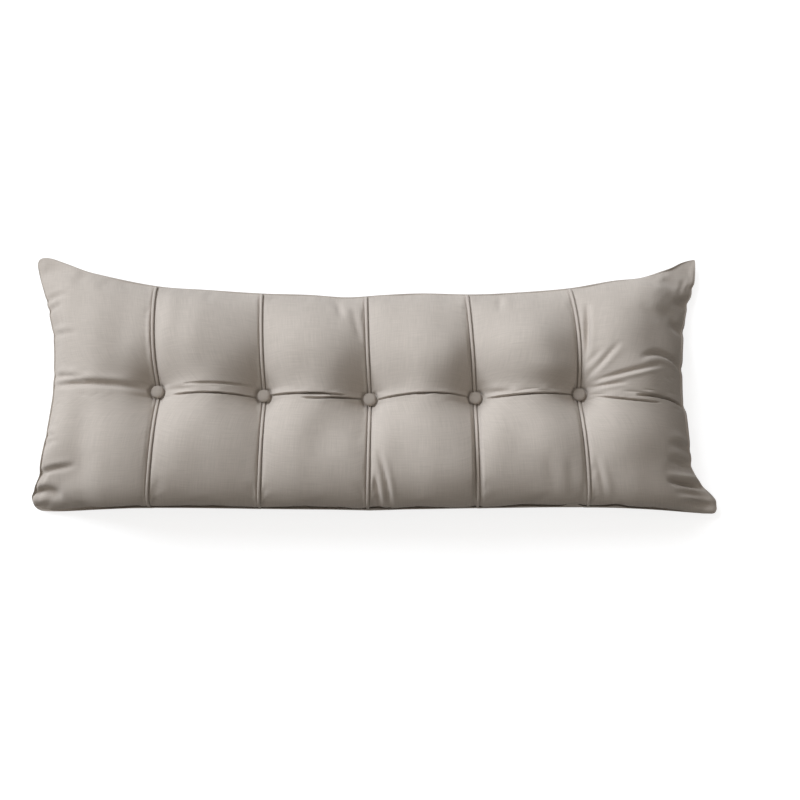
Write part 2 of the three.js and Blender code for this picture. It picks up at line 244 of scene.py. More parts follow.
# A slit's floor and lip, and how far off the roll beside it is full, in widths of the slit; how far the roll
# reaches, and how much of it is gone at the slit's far end
SLIT_FLOOR = 0.5
SLIT_LIP = 1.7
SLIT_ROLL_FULL = 2
SLIT_ROLL_REACH = 11
SLIT_ROLL_FADE = 0.9

# A fold's roll, in widths of the fold: how far off its crest is and how wide it is
FOLD_CREST = 2
FOLD_ROLL_WIDTH = 1.3

# How creases end: the power of their fading, how much of them is left at the short edges, and how far from
# those edges they are at their full
SLIT_FADE = 0.6
FOLD_FADE = 1
END_SHARE = 0.4
END_FADE = 16

# How much of the cloth beside a slit is drawn into it, and from how far
TUCK = 0.5
TUCK_REACH = 8

# Creases and swells are at their full this many times as far from a groove's middle as its lip is
WELT_MARGIN = 2.5

# Uneven fill: where the front swells or, below zero, sinks; how far that reaches along and up, and its height
Swell = namedtuple("Swell", "x y reach_x reach_y height")
SWELLS = (
    Swell(-472, 72, 44, 70, -10),
    Swell(-546, -125, 32, 85, -11),
    Swell(-338, 80, 42, 80, 9),
    Swell(-386, 100, 20, 70, 5),
    Swell(-472, -130, 42, 85, 5),
    Swell(-82, -122, 38, 46, -9),
    Swell(138, 24, 54, 56, 10),
    Swell(150, -130, 70, 60, 5),
    Swell(30, -120, 20, 70, 4),
    Swell(156, -196, 80, 46, 9),
    Swell(-366, -120, 38, 75, 4),
    Swell(234, -110, 34, 70, 6),
    Swell(-604, -190, 34, 40, -6),
    Swell(306, 50, 62, 52, 15),
    Swell(348, -136, 46, 60, 8),
    Swell(-300, -120, 60, 60, 3),
    Swell(-105, 60, 60, 50, 3),
    Swell(520, -120, 60, 60, 4),
    Swell(525, -5, 45, 36, 8),
    Swell(500, 110, 60, 50, 4),
    Swell(545, 180, 45, 62, 9),
    Swell(350, 6, 62, 26, 9),
)

# Cloth isn't smooth: how long its soft waves are along and up the pillow, and how high
UNEVEN_LENGTHS = (46, 150)
UNEVEN_HEIGHT = 1.6

# Where the outline is drawn in at a fold: place, how far that reaches and how deep it is
Notch = namedtuple("Notch", "x y reach depth")
NOTCHES = (
    Notch(-660, 160, 7, 4), Notch(-648, 139, 7, 4), Notch(-634, 88, 8, 2), Notch(-630, 6, 9, 2),
    Notch(-640, -113, 7, 2), Notch(-657, -183, 8, 3), Notch(-664, -214, 8, 4),
    Notch(668, -203, 8, 4), Notch(640, -163, 9, 3), Notch(628, -131, 9, 2), Notch(690, -237, 7, 3),
    Notch(628, 112, 9, 3), Notch(652, 172, 8, 4), Notch(660, 205, 7, 3), Notch(617, 32, 9, 3),
    Notch(622, -44, 9, 3),
)

# How many times further a notch reaches in from the edge than along it
NOTCH_STRETCH = 3

# The buttons' dimples: a narrow ring drawn in round each button and the cloth that swells beside it
RING_DEPTH = 4
RING_WIDTH = 2.6
SWELL_HEIGHT = 0.8
SWELL_RADIUS = 20
SWELL_WIDTH = 5.5

# Where the front is pushed up along the lower seam: x, half width, height, and the share of that which the
# seam's turned edge follows
Hump = namedtuple("Hump", "x half_width height follow")
HUMPS = (
    Hump(-447, 11, 5, 0.2), Hump(-130, 16, 3, 0.2), Hump(13, 12, 5, 0.2), Hump(110, 18, 3, 0.2),
    Hump(197, 12, 3, 0.2), Hump(300, 20, 3, 0.5), Hump(388, 14, 9, 0.9), Hump(474, 16, 5, 0.7),
    Hump(560, 16, 3, 0.5),
)

# How far out and up from the seam the humps are centred, and how far they reach from there
HUMP_OFFSET = 3
HUMP_REACH = 9

# The cover's grid: the rows' step along the cloth, the finer step beside the button line, how far that goes
# and how many times as far it takes to grow, the columns' step, how close in panels they come to a welt's own
# columns, how far off the welt those are, and the number of places at which the cloth is measured
ROW_STEP = 8
FINE_ROW_STEP = 2.1
FINE_ROW_LENGTH = 18
FINE_FADE = 3
COLUMN_STEP = 8
COLUMN_MARGIN = 0.02
WELT_FLANK = (GROOVE_FLOOR, 4, GROOVE_LIP, 7, 9.5, 13, 17.5, 23)
SPACING_SAMPLES = 4000

# How the cover is filled: the simulation's length, the pressure, the most that a point moves and the cloth
PUFF_FRAMES = 20
PUFF_PRESSURE = 4
PUFF_LIMIT = 9
PUFF_QUALITY = 6
PUFF_MASS = 0.3
PUFF_STIFFNESS = 12
PUFF_SHEAR = 5
PUFF_BENDING = 0.4
PUFF_GROWTH = 0.008

# The cloth: noise cells per metre across and along a thread, how far the dye varies with them, how high the
# weave stands in metres, and how the cloth shines
THREAD_CELLS = 620
SLUB_CELLS = 24
THREAD_DETAIL = 3
DYE_RANGE = (0.3, 0.7)
DYE_SHADES = (0.88, 1.1)
# How much darker the buttons' cloth is painted: a painted shadow for the dimples that they sit in
BUTTON_PAINTED_SHADE = 0.88
WEAVE_STRENGTH = 0.4
WEAVE_HEIGHT = 0.0006
CLOTH_ROUGHNESS = 0.9
CLOTH_SPECULAR = 0.25
CLOTH_SHEEN = 0.15
SHEEN_ROUGHNESS = 0.5

# The light: a wide soft source from the upper left, and a warm room that is darker to the lower right
LIGHT_AZIMUTH = math.radians(140)
LIGHT_ELEVATION = math.radians(32)
LIGHT_SPREAD = math.radians(35)
LIGHT_STRENGTH = 3.05
LIGHT_COLOUR = (0.935, 1, 1.095)
LIGHT_DISTANCE = 3
SKY_TOWARDS = (-0.54, 0.26, 0.8)
SKY_DARK = (0.066, 0.06, 0.054)
SKY_DARK_AT = 0.35
SKY_BRIGHT = (0.52, 0.495, 0.465)
SKY_BRIGHT_AT = 0.85

# A white floor that bends up into a wall all round, in metres
FLOOR_MIDDLE = 0.001
FLOOR_RADIUS = 5
FLOOR_TURNS = 64
WALL_BEND = 2
WALL_BEND_STEPS = 11
WALL_HEIGHT = 6
FLOOR_COLOUR = (0.4, 0.4, 0.4, 1)
FLOOR_ROUGHNESS = 0.9
FLOOR_GLOW_COLOUR = (1, 1, 1, 1)
FLOOR_GLOW = 0.78

# The camera: the point that it looks at and its distance from there in metres, its tilt and its lens
CAMERA_AIM = (0.0591, -0.0423, 0.0872)
CAMERA_DISTANCE = 2.326
CAMERA_TILT = math.radians(12)
CAMERA_LENS = 54


def mix(start, stop, share):
    return start + (stop - start) * share


def smooth_step(low, high, value):
    share = np.clip((value - low) / (high - low), 0, 1)
    return share * share * (3 - 2 * share)


def smooth_through(rows):
    """A function that runs smoothly through a table's points and goes on straight beyond its ends."""
    inputs, outputs = np.array(rows, float).T
    slopes = np.empty_like(outputs)
    slopes[1:-1] = (outputs[2:] - outputs[:-2]) / (inputs[2:] - inputs[:-2])
    slopes[0] = (outputs[1] - outputs[0]) / (inputs[1] - inputs[0])
    slopes[-1] = (outputs[-1] - outputs[-2]) / (inputs[-1] - inputs[-2])

    def at(value):
        value = np.asarray(value, float)
        step = np.clip(np.searchsorted(inputs, value, side="right") - 1, 0, len(inputs) - 2)
        span = inputs[step + 1] - inputs[step]
        share = (value - inputs[step]) / span
        change = outputs[step + 1] - outputs[step]
        leave = slopes[step] * span - change
        arrive = change - slopes[step + 1] * span
        inside = outputs[step] + change * share + share * (1 - share) * mix(leave, arrive, share)
        before = outputs[0] + slopes[0] * (value - inputs[0])
        after = outputs[-1] + slopes[-1] * (value - inputs[-1])
        return np.where(value < inputs[0], before, np.where(value > inputs[-1], after, inside))

    return at


upper_edge_y = smooth_through(UPPER_EDGE)
lower_edge_y = smooth_through(LOWER_EDGE)
left_edge_x = smooth_through(LEFT_EDGE)
right_edge_x = smooth_through(RIGHT_EDGE)
button_line_y = smooth_through(
    (BUTTON_LINE_ENDS[0], *((welt.button, welt.button_y) for welt in WELTS), BUTTON_LINE_ENDS[1])
)


def welt_x(welt, rise):
    """A welt's x: a bowed line on each side of its button."""
    way = np.abs(rise)
    end = np.where(rise < 0, welt.lower, welt.upper)
    half_way = np.where(rise < 0, welt.low, welt.high)
    bow = 4 * (half_way - (welt.button + end) / 2)
    return mix(welt.button, end, way) + bow * way * (1 - way)


def panel_lines(rise):
    """The x of both short edges and of the welts between them, left to right."""
    return np.stack([left_edge_x(rise), *(welt_x(welt, rise) for welt in WELTS), right_edge_x(rise)])


def plan_at(across, rise):
    """Where a point of the front lies in plan."""
    across, rise = np.broadcast_arrays(np.asarray(across, float), np.asarray(rise, float))
    panel = np.clip(np.floor(across), 0, PANELS - 1).astype(int)
    lines = panel_lines(rise)
    start = np.take_along_axis(lines, panel[None], 0)[0]
    stop = np.take_along_axis(lines, panel[None] + 1, 0)[0]
    x = mix(start, stop, across - panel)
    edge = np.where(rise < 0, lower_edge_y(x), upper_edge_y(x))
    return x, mix(button_line_y(x), edge, np.abs(rise))


def plumpness(way, rounding):
    """The share of a panel's height that is left this far out towards a seam."""
    return (1 - np.clip(way, 0, 1) ** rounding.power) ** rounding.sharpness


def rim_plumpness(rise):
    """The share of a panel's height that is left this far towards the upper or the lower edge."""
    way = np.abs(rise)
    return np.where(rise < 0, plumpness(way, LOWER_ROUNDING), plumpness(way, UPPER_ROUNDING))


def end_plumpness(across):
    """The share of a panel's height that is left this far towards the left or the right edge."""
    left = plumpness(1 - np.minimum(across, 1), LEFT_ROUNDING)
    right = plumpness(1 - np.minimum(PANELS - across, 1), RIGHT_ROUNDING)
    return left * right


def corner_nearness(across, rise):
    """1 at a corner, falling to 0 away from it."""
    from_end = np.minimum(across, PANELS - across) / (PANELS / 2)
    long_edge_reach = np.where((across > PANELS / 2) & (rise > 0), UPPER_RIGHT_EDGE_REACH, LONG_EDGE_REACH)
    away = np.maximum(from_end / long_edge_reach, 1 - np.abs(rise))
    return np.exp(-((away / CORNER_REACH) ** 2))


def edge_height(across, rise):
    """How high the seam runs above the surface that the pillow lies on."""
    along_left = mix(LEFT_EDGE_HEIGHT, EDGE_HEIGHT, smooth_step(0, 1, across))
    along_right = mix(along_left, RIGHT_EDGE_HEIGHT, smooth_step(PANELS - 1, PANELS, across))
    along_lower = mix(along_right, LOWER_EDGE_HEIGHT, smooth_step(LOWER_HEIGHT_FROM, 1, -rise))
    left_corner = np.where(rise < 0, LOWER_LEFT_HEIGHT, UPPER_LEFT_HEIGHT)
    right_corner = np.where(rise < 0, LOWER_RIGHT_HEIGHT, UPPER_RIGHT_HEIGHT)
    corner = np.where(across < PANELS / 2, left_corner, right_corner)
    height = mix(along_lower, corner, corner_nearness(across, rise))
    for lift in LIFTS:
        away = ((across - lift.across) / lift.reach_across) ** 2 + ((rise - lift.rise) / lift.reach_rise) ** 2
        height = height + lift.height * np.exp(-away)
    return height


def nearest_welt(across):
    """The number of the welt nearest to a point of the front, 1 to 5."""
    return np.clip(np.round(across), 1, PANELS - 1).astype(int)


def off_welt(across, rise):
    """How far a point of the front is from the nearest welt."""
    across, rise = np.broadcast_arrays(np.asarray(across, float), np.asarray(rise, float))
    nearest = nearest_welt(across)
    x, _ = plan_at(across, rise)
    return np.abs(x - np.take_along_axis(panel_lines(rise), nearest[None], 0)[0])


def button_pull(rise):
    """How strongly a welt is drawn in towards its button at this rise, 1 at the button."""
    off_button = np.maximum(np.abs(rise) - BUTTON_FLAT / HALF_HEIGHT, 0)
    return np.exp(-((off_button / BUTTON_REACH) ** BUTTON_POWER))


def front_height(across, rise):
    """The height of the front: plump panels between the welts, drawn in at the buttons and the seam."""
    way = np.abs(rise)
    off = off_welt(across, rise)
    crown = np.where(rise < 0, LOWER_CROWN_HEIGHT, UPPER_CROWN_HEIGHT)
    middle = mix(crown, VALLEY_HEIGHT, np.exp(-((way / VALLEY_REACH) ** 2)))
    pull = button_pull(rise)
    lower_lift = np.array([welt.lower_lift for welt in WELTS])[nearest_welt(across) - 1]
    upper_lift = np.array([welt.upper_lift for welt in WELTS])[nearest_welt(across) - 1]
    on_welt = mix(SEAM_HEIGHT + np.where(rise < 0, lower_lift, upper_lift), BUTTON_HEIGHT, pull)
    flat_half = mix(GROOVE_LIP, BUTTON_FLAT, pull)
    near_welt = np.clip(1 - (off - flat_half) / (PANEL_WIDTH / 2 - flat_half), 0, 1)
    level = mix(middle, on_welt, near_welt ** mix(PANEL_POWER, DIMPLE_POWER, pull))
    rim = rim_plumpness(rise)
    end = end_plumpness(across)
    thinning = np.where(across > PANELS / 2, RIGHT_CORNER_THINNING, CORNER_THINNING)
    thin = 1 - thinning * np.sqrt((1 - rim) * (1 - end))
    base = edge_height(across, rise)
    return base + (level - base) * rim * end * thin


def groove_depth(across, rise):
    """How deep the panels dip where they turn into the seam beside a welt."""
    share = 1 - smooth_step(GROOVE_FLOOR, GROOVE_LIP, off_welt(across, rise))
    return GROOVE_DEPTH * share * rim_plumpness(rise)


def blunted(across, rise):
    """The same place, drawn in from the corners so that their tips are round in plan."""
    across = np.array(across, float)
    rise = np.array(rise, float)
    for tip in TIPS:
        inward_across = 1 if tip.across == 0 else -1
        from_end = (across - tip.across) * inward_across * PANEL_WIDTH
        from_edge = (1 - rise * tip.rise) * HALF_HEIGHT
        along = 1 - from_end / tip.radius
        up = 1 - from_edge / tip.radius
        inside = (along > 0) & (up > 0)
        length = np.hypot(along, up)
        shrink = np.where(inside, np.maximum(along, up) / np.where(inside, length, 1), 1)
        round_across = (1 - along * shrink) * tip.radius / PANEL_WIDTH * inward_across
        round_rise = (1 - up * shrink) * tip.radius / HALF_HEIGHT
        across = np.where(inside, tip.across + round_across, across)
        rise = np.where(inside, tip.rise * (1 - round_rise), rise)
    return across, rise


def front_point(across, rise):
    x, y = plan_at(*blunted(across, rise))
    return np.stack([x, y, front_height(across, rise) - groove_depth(across, rise)], -1)


def back_point(across, rise, lower, other, corner):
    """A point of the back at this place of the rim, between the steps for each kind of place."""
    near_corner = corner_nearness(across, rise)
    on_lower_edge = smooth_step(LOWER_BACK_FROM, 1, -rise)
    inset = mix(mix(other.inset, lower.inset, on_lower_edge), corner.inset, near_corner) / PANEL_WIDTH
    drop = mix(mix(other.drop, lower.drop, on_lower_edge), corner.drop, near_corner)
    middle = PANELS / 2
    plan_across, plan_rise = blunted(across, rise)
    x, y = plan_at(middle + (plan_across - middle) * (1 - inset / middle), plan_rise * (1 - inset))
    return np.stack([x, y, edge_height(across, rise) * (1 - drop)], -1)


def spaced_shares(length, height, rounding, fine_length, fine_step, step):
    """Shares of the way from a panel's middle to a seam, even along the cloth and finer at the start."""
    shares = np.linspace(0, 1, SPACING_SAMPLES)
    walk = np.hypot(np.diff(shares) * length, np.diff(plumpness(shares, rounding)) * height)
    travelled = np.concatenate([[0], np.cumsum(walk)])
    coarser = smooth_step(fine_length, FINE_FADE * fine_length, travelled[1:])
    local_step = mix(fine_step, step, coarser)
    count = np.concatenate([[0], np.cumsum(walk / local_step)])
    return np.interp(np.linspace(0, count[-1], round(count[-1]) + 1), count, shares)


def row_places(fine_length, fine_step, step):
    """The rises of the front's rows, from the lower edge to the upper one."""
    halves = []
    for crown, rounding in ((LOWER_CROWN_HEIGHT, LOWER_ROUNDING), (UPPER_CROWN_HEIGHT, UPPER_ROUNDING)):
        halves.append(spaced_shares(HALF_HEIGHT, crown - EDGE_HEIGHT, rounding, fine_length, fine_step, step))
    lower, upper = halves
    return np.concatenate([-lower[:0:-1], upper])


def column_places():
    """Where the front's columns lie across it, close together beside the welts."""
    flank = np.array(WELT_FLANK) / PANEL_WIDTH
    first = 1 - flank[-1]
    height = UPPER_CROWN_HEIGHT - EDGE_HEIGHT
    end_panels = []
    for rounding in (LEFT_ROUNDING, RIGHT_ROUNDING):
        even = 1 - spaced_shares(PANEL_WIDTH, height, rounding, COLUMN_STEP, COLUMN_STEP, COLUMN_STEP)[::-1]
        end_panels.append(np.concatenate([even[even < first - COLUMN_MARGIN], (1 - flank)[::-1]]))
    middle_steps = round((1 - 2 * flank[-1]) * PANEL_WIDTH / COLUMN_STEP)
    middle = np.linspace(flank[-1], first, middle_steps + 1)[1:-1]
    inner_panel = np.concatenate([flank, middle, (1 - flank)[::-1]])
    panels = [end_panels[0]]
    for panel in range(1, PANELS - 1):
        panels.append(panel + inner_panel)
    panels.append(PANELS - end_panels[1][::-1])
    return np.concatenate(panels)


def new_piece(name, points, faces, uv):
    """A smooth-shaded mesh object from points in millimetres; uv has each face corner's place in metres."""
    mesh = bpy.data.meshes.new(name)
    mesh.from_pydata((np.asarray(points) * MM).tolist(), [], faces)
    mesh.polygons.foreach_set("use_smooth", [True] * len(mesh.polygons))
    layer = mesh.uv_layers.new(name="cloth")
    layer.data.foreach_set("uv", np.asarray(uv, np.float32).ravel())
    mesh.update()
    piece = bpy.data.objects.new(name, mesh)
    bpy.context.scene.collection.objects.link(piece)
    return piece


def mesh_points(mesh):
    points = np.empty(len(mesh.vertices) * 3, np.float32)
    mesh.vertices.foreach_get("co", points)
    return points.reshape(-1, 3).astype(float)


def mesh_normals(mesh):
    normals = np.empty(len(mesh.vertices) * 3, np.float32)
    mesh.vertex_normals.foreach_get("vector", normals)
    return normals.reshape(-1, 3).astype(float)


def set_mesh_points(mesh, points):
    mesh.vertices.foreach_set("co", np.asarray(points, np.float32).ravel())
    mesh.update()


def bake_modifiers(piece):
    """The piece's mesh becomes what its modifiers make of it."""
    graph = bpy.context.evaluated_depsgraph_get()
    evaluated = piece.evaluated_get(graph)
    baked = bpy.data.meshes.new_from_object(evaluated, preserve_all_data_layers=True, depsgraph=graph)
    old = piece.data
    piece.modifiers.clear()
    piece.data = baked
    bpy.data.meshes.remove(old)
    baked.name = piece.name


def cloth_lengths(points, axis):
    """Distance along the cloth from the middle of the grid, in metres, row by row or column by column."""
    walk = np.linalg.norm(np.diff(points, axis=axis), axis=-1)
    total = np.insert(np.cumsum(walk, axis=axis), 0, 0, axis=axis)
    centre = np.take(total, [total.shape[axis] // 2], axis=axis)
    return (total - centre) * MM


def grid_faces(index):
    """Faces between the rows of a grid of point numbers."""
    faces = []
    for low, high in zip(index, index[1:]):
        for column in range(len(low) - 1):
            faces.append((low[column], low[column + 1], high[column + 1], high[column]))
    return faces


def ring_faces(ring_index):
    """Faces between closed rings of point numbers, from the outermost to the innermost."""
    faces = []
    for outer, inner in zip(ring_index, ring_index[1:]):
        for place in range(len(outer)):
            after = (place + 1) % len(outer)
            faces.append((inner[place], inner[after], outer[after], outer[place]))
    return faces


def band_faces(rings, turns):
    """Faces between rings of points that follow one another, each with this many points."""
    faces = []
    for ring in range(rings - 1):
        low = ring * turns
        high = low + turns
        for turn in range(turns):
            after = (turn + 1) % turns
            faces.append((low + turn, low + after, high + after, high + turn))
    return faces


def unrolled(rings):
    """Where each ring of the back lies when its cloth is unrolled outwards from the flat base."""
    base = rings[-1][:, :2]
    outward = rings[0][:, :2] - base
    outward /= np.linalg.norm(outward, axis=1, keepdims=True)
    climbed = np.zeros(len(base))
    places = [base]
    for outer, inner in zip(rings[-2::-1], rings[:0:-1]):
        climbed = climbed + np.linalg.norm(outer - inner, axis=1)
        places.insert(0, base + outward * climbed[:, None])
    return places


def held_places(front, across, rise):
    """Which points of the front the seams and the buttons hold while the cover is filled."""
    held = off_welt(across, rise) < GROOVE_LIP + HELD_MARGIN
    for welt in WELTS:
        held |= np.hypot(front[..., 0] - welt.button, front[..., 1] - welt.button_y) < BUTTON_FLAT
    held[0] = held[-1] = True
    held[:, 0] = held[:, -1] = True
    return held


def build_cushion():
    """The cover before it is filled: a grid for the front and rings for the back, down to its flat base."""
    across, rise = np.meshgrid(column_places(), row_places(FINE_ROW_LENGTH, FINE_ROW_STEP, ROW_STEP))
    front = front_point(across, rise)
    lower_seam = 1 - corner_nearness(across[0], rise[0])
    front[0, :, 1] += SEAM_TUCK * lower_seam
    front[0, :, 2] -= SEAM_DEPTH * lower_seam
    index = np.arange(across.size).reshape(across.shape)
    front_uv = np.stack([cloth_lengths(front, 1), cloth_lengths(front, 0)], -1).reshape(-1, 2)

    rim = np.concatenate([index[0, :-1], index[:-1, -1], index[-1, :0:-1], index[:0:-1, 0]])
    rim_across = across.ravel()[rim]
    rim_rise = rise.ravel()[rim]
    rings = [front.reshape(-1, 3)[rim]]
    ring_index = [rim]
    for number, steps in enumerate(zip(LOWER_BACK[1:], OTHER_BACK[1:], CORNER_BACK[1:])):
        rings.append(back_point(rim_across, rim_rise, *steps))
        ring_index.append(index.size + number * len(rim) + np.arange(len(rim)))
    points = np.concatenate([front.reshape(-1, 3), *rings[1:]])
    back_uv = np.zeros((len(points), 2))
    for numbers, places in zip(ring_index, unrolled(rings)):
        back_uv[numbers] = places * MM

    faces = []
    uv = []
    for source, side in ((front_uv, grid_faces(index)), (back_uv, ring_faces(ring_index))):
        for face in side:
            faces.append([int(corner) for corner in face])
            uv.extend(source[list(face)])
    piece = new_piece("pillow_cover", points, faces, uv)
    piece.vertex_groups.new(name="front").add(index.ravel().tolist(), 1, "REPLACE")
    pinned = piece.vertex_groups.new(name="pinned")
    pinned.add(index[held_places(front, across, rise)].tolist(), 1, "REPLACE")
    for numbers in (*ring_index[1:PINNED_STEPS + 1], ring_index[-1]):
        pinned.add(numbers.tolist(), 1, "REPLACE")
    return piece


def blow_up(piece):
    """Fills the cover with Blender's cloth: pressure inside, held along the seams, no gravity."""
    start = mesh_points(piece.data)
    modifier = piece.modifiers.new("fill", "CLOTH")
    settings = modifier.settings
    settings.quality = PUFF_QUALITY
    settings.mass = PUFF_MASS
    settings.tension_stiffness = PUFF_STIFFNESS
    settings.compression_stiffness = PUFF_STIFFNESS
    settings.shear_stiffness = PUFF_SHEAR
    settings.bending_stiffness = PUFF_BENDING
    settings.use_pressure = True
    settings.uniform_pressure_force = PUFF_PRESSURE
    settings.vertex_group_mass = "pinned"
    settings.shrink_min = -PUFF_GROWTH
    settings.effector_weights.gravity = 0
    modifier.collision_settings.use_collision = False
    modifier.point_cache.frame_start = 1
    modifier.point_cache.frame_end = PUFF_FRAMES
    scene = bpy.context.scene
    for number in range(1, PUFF_FRAMES + 1):
        scene.frame_set(number)
    filled = piece.evaluated_get(bpy.context.evaluated_depsgraph_get())
    end = mesh_points(filled.data)
    piece.modifiers.remove(modifier)
    scene.frame_set(1)
    shift = end - start
    length = np.linalg.norm(shift, axis=1, keepdims=True)
    limit = PUFF_LIMIT * MM
    set_mesh_points(piece.data, start + shift * (limit / np.maximum(length, limit)))


def group_weights(piece, name):
    """Each point's weight in a group, 0 where it isn't in it."""
    group = piece.vertex_groups[name].index
    weights = np.zeros(len(piece.data.vertices))
    for vertex in piece.data.vertices:
        for entry in vertex.groups:
            if entry.group == group:
                weights[vertex.index] = entry.weight
    return weights


def button_ring(x, y):
    """How far the cloth is drawn in round the buttons; below zero where it swells beside them."""
    depth = np.zeros_like(x)
    for welt in WELTS:
        away = np.hypot(x - welt.button, y - welt.button_y)
        depth += RING_DEPTH * np.exp(-(((away - BUTTON_RADIUS - RING_WIDTH / 2) / RING_WIDTH) ** 2))
        depth -= SWELL_HEIGHT * np.exp(-(((away - SWELL_RADIUS) / SWELL_WIDTH) ** 2))
    return depth


def rise_at(x, y):
    """The rise of a place in plan."""
    line = button_line_y(x)
    edge = np.where(y < line, lower_edge_y(x), upper_edge_y(x))
    return np.clip((y - line) / np.abs(edge - line), -1, 1)


def welt_distance(x, y):
    """How far a place in plan is from the nearest welt."""
    rise = rise_at(x, y)
    return np.min([np.abs(x - welt_x(welt, rise)) for welt in WELTS], axis=0)


def end_share(x, y):
    """How much of a crease is left this close to the left or the right edge."""
    rise = rise_at(x, y)
    from_end = np.minimum(x - left_edge_x(rise), right_edge_x(rise) - x)
    return mix(END_SHARE, 1, smooth_step(0, END_FADE, from_end))


def crease_frame(crease, x, y, fade):
    """How far off a crease's line a point lies, its strength there, its left and the way along it."""
    length = math.hypot(crease.to_x - crease.from_x, crease.to_y - crease.from_y)
    along_x = (crease.to_x - crease.from_x) / length
    along_y = (crease.to_y - crease.from_y) / length
    share = ((x - crease.from_x) * along_x + (y - crease.from_y) * along_y) / length
    inside = np.clip(share, 0, 1)
    bow = crease.bow * 4 * inside * (1 - inside)
    off = along_x * (y - crease.from_y) - along_y * (x - crease.from_x) - bow
    strength = np.sin(math.pi * inside) ** fade
    return off, strength, (-along_y, along_x), inside


def slit_profile(crease, off, way):
    """A narrow slit, and cloth that stands up towards it on its left, less so along the way."""
    lip = smooth_step(SLIT_FLOOR * crease.width, SLIT_LIP * crease.width, np.abs(off))
    roll = crease.roll * np.exp(-np.maximum(off, 0) / SLIT_ROLL_REACH)
    roll *= smooth_step(0, SLIT_ROLL_FULL * crease.width, off)
    return crease.depth * (1 - lip) - roll * (1 - SLIT_ROLL_FADE * way)


def fold_profile(crease, off):
    """A soft trough with a roll of cloth beside it."""
    trough = crease.depth * np.exp(-((off / crease.width) ** 2))
    crest = math.copysign(FOLD_CREST * crease.width, crease.roll)
    roll = abs(crease.roll) * np.exp(-(((off - crest) / (FOLD_ROLL_WIDTH * crease.width)) ** 2))
    return trough - roll


def unevenness(x, y):
    """Soft waves of the cloth, longer up the pillow than along it."""
    along, up = UNEVEN_LENGTHS
    waves = [noise.noise((place_x / along, place_y / up, 0)) for place_x, place_y in zip(x, y)]
    return UNEVEN_HEIGHT * np.array(waves)


def shape_front(piece):
    """Tucks the creases into the front and adds its uneven fill."""
    points = mesh_points(piece.data)
    normals = mesh_normals(piece.data)
    front = group_weights(piece, "front")
    x = points[:, 0] / MM
    y = points[:, 1] / MM
    clear_of_welts = smooth_step(GROOVE_LIP, WELT_MARGIN * GROOVE_LIP, welt_distance(x, y)) * front
    for slit in SLITS:
        off, strength, left, _ = crease_frame(slit, x, y, SLIT_FADE)
        pull = TUCK * off * strength * np.exp(-((off / TUCK_REACH) ** 2)) * clear_of_welts
        x = x - pull * left[0]
        y = y - pull * left[1]
    depth = button_ring(x, y) - unevenness(x, y)
    for swell in SWELLS:
        away = ((x - swell.x) / swell.reach_x) ** 2 + ((y - swell.y) / swell.reach_y) ** 2
        depth -= swell.height * np.exp(-away)
    for slit in SLITS:
        off, strength, _, way = crease_frame(slit, x, y, SLIT_FADE)
        depth += slit_profile(slit, off, way) * strength
    for fold in FOLDS:
        off, strength, _, _ = crease_frame(fold, x, y, FOLD_FADE)
        depth += fold_profile(fold, off) * strength
    depth *= clear_of_welts * end_share(x, y)
    points[:, 0] = x * MM
    points[:, 1] = y * MM
    set_mesh_points(piece.data, points - normals * (depth * MM)[:, None])


def notch_outline(piece):
    """Draws the short edges in where folds reach them."""
    points = mesh_points(piece.data)
    x, y, _ = points.T / MM
    for notch in NOTCHES:
        along = (y - notch.y) / notch.reach
        inward = (x - notch.x) / (NOTCH_STRETCH * notch.reach)
        near = np.exp(-(along ** 2 + inward ** 2))
        points[:, 0] -= math.copysign(notch.depth, notch.x) * near * MM
    set_mesh_points(piece.data, points)


def push_seam(piece):
    """Pushes the lower seam up in short humps."""
    points = mesh_points(piece.data)
    x, y, z = points.T / MM
    inward = (y - lower_edge_y(x) + HUMP_OFFSET) / HUMP_REACH
    upward = (z - LOWER_EDGE_HEIGHT - HUMP_OFFSET) / HUMP_REACH
    near = np.exp(-(inward ** 2 + upward ** 2))
    front = group_weights(piece, "front")
    push = np.zeros(len(points))
    for hump in HUMPS:
        push += hump.height * np.exp(-(((x - hump.x) / hump.half_width) ** 2)) * mix(hump.follow, 1, front)
    points[:, 1] += push * near * MM
    points[:, 2] += push * near * MM
    set_mesh_points(piece.data, points)


def close_base(piece):
    """Closes the cover with the flat that it lies on, ring by ring to the middle."""
    points = mesh_points(piece.data)
    points[:, 2] = np.maximum(points[:, 2], 0)
    set_mesh_points(piece.data, points)
    flat = bmesh.new()
    flat.from_mesh(piece.data)
    cloth = flat.loops.layers.uv["cloth"]
    loop = [edge for edge in flat.edges if edge.is_boundary]
    made = []
    scale_before = 1
    for scale in BASE_SCALES:
        ring = bmesh.ops.extrude_edge_only(flat, edges=loop)["geom"]
        for part in ring:
            if isinstance(part, bmesh.types.BMVert):
                part.co.x *= scale / scale_before
                part.co.y *= scale / scale_before
        made += [part for part in ring if isinstance(part, bmesh.types.BMFace)]
        loop = [part for part in ring if isinstance(part, bmesh.types.BMEdge) and part.is_boundary]
        scale_before = scale
    middle = bmesh.ops.holes_fill(flat, edges=loop, sides=0)["faces"]
    made += bmesh.ops.poke(flat, faces=middle)["faces"]
    for face in made:
        face.smooth = True
        for corner in face.loops:
            corner[cloth].uv = corner.vert.co.xy
    bmesh.ops.recalc_face_normals(flat, faces=flat.faces)
    flat.to_mesh(piece.data)
    flat.free()


def make_cushion():
    """The filled, creased and closed cover."""
    piece = build_cushion()
    blow_up(piece)
    piece.modifiers.new("smooth", "SUBSURF").levels = 1
    bake_modifiers(piece)
    shape_front(piece)
    notch_outline(piece)
    push_seam(piece)
    close_base(piece)
    return piece


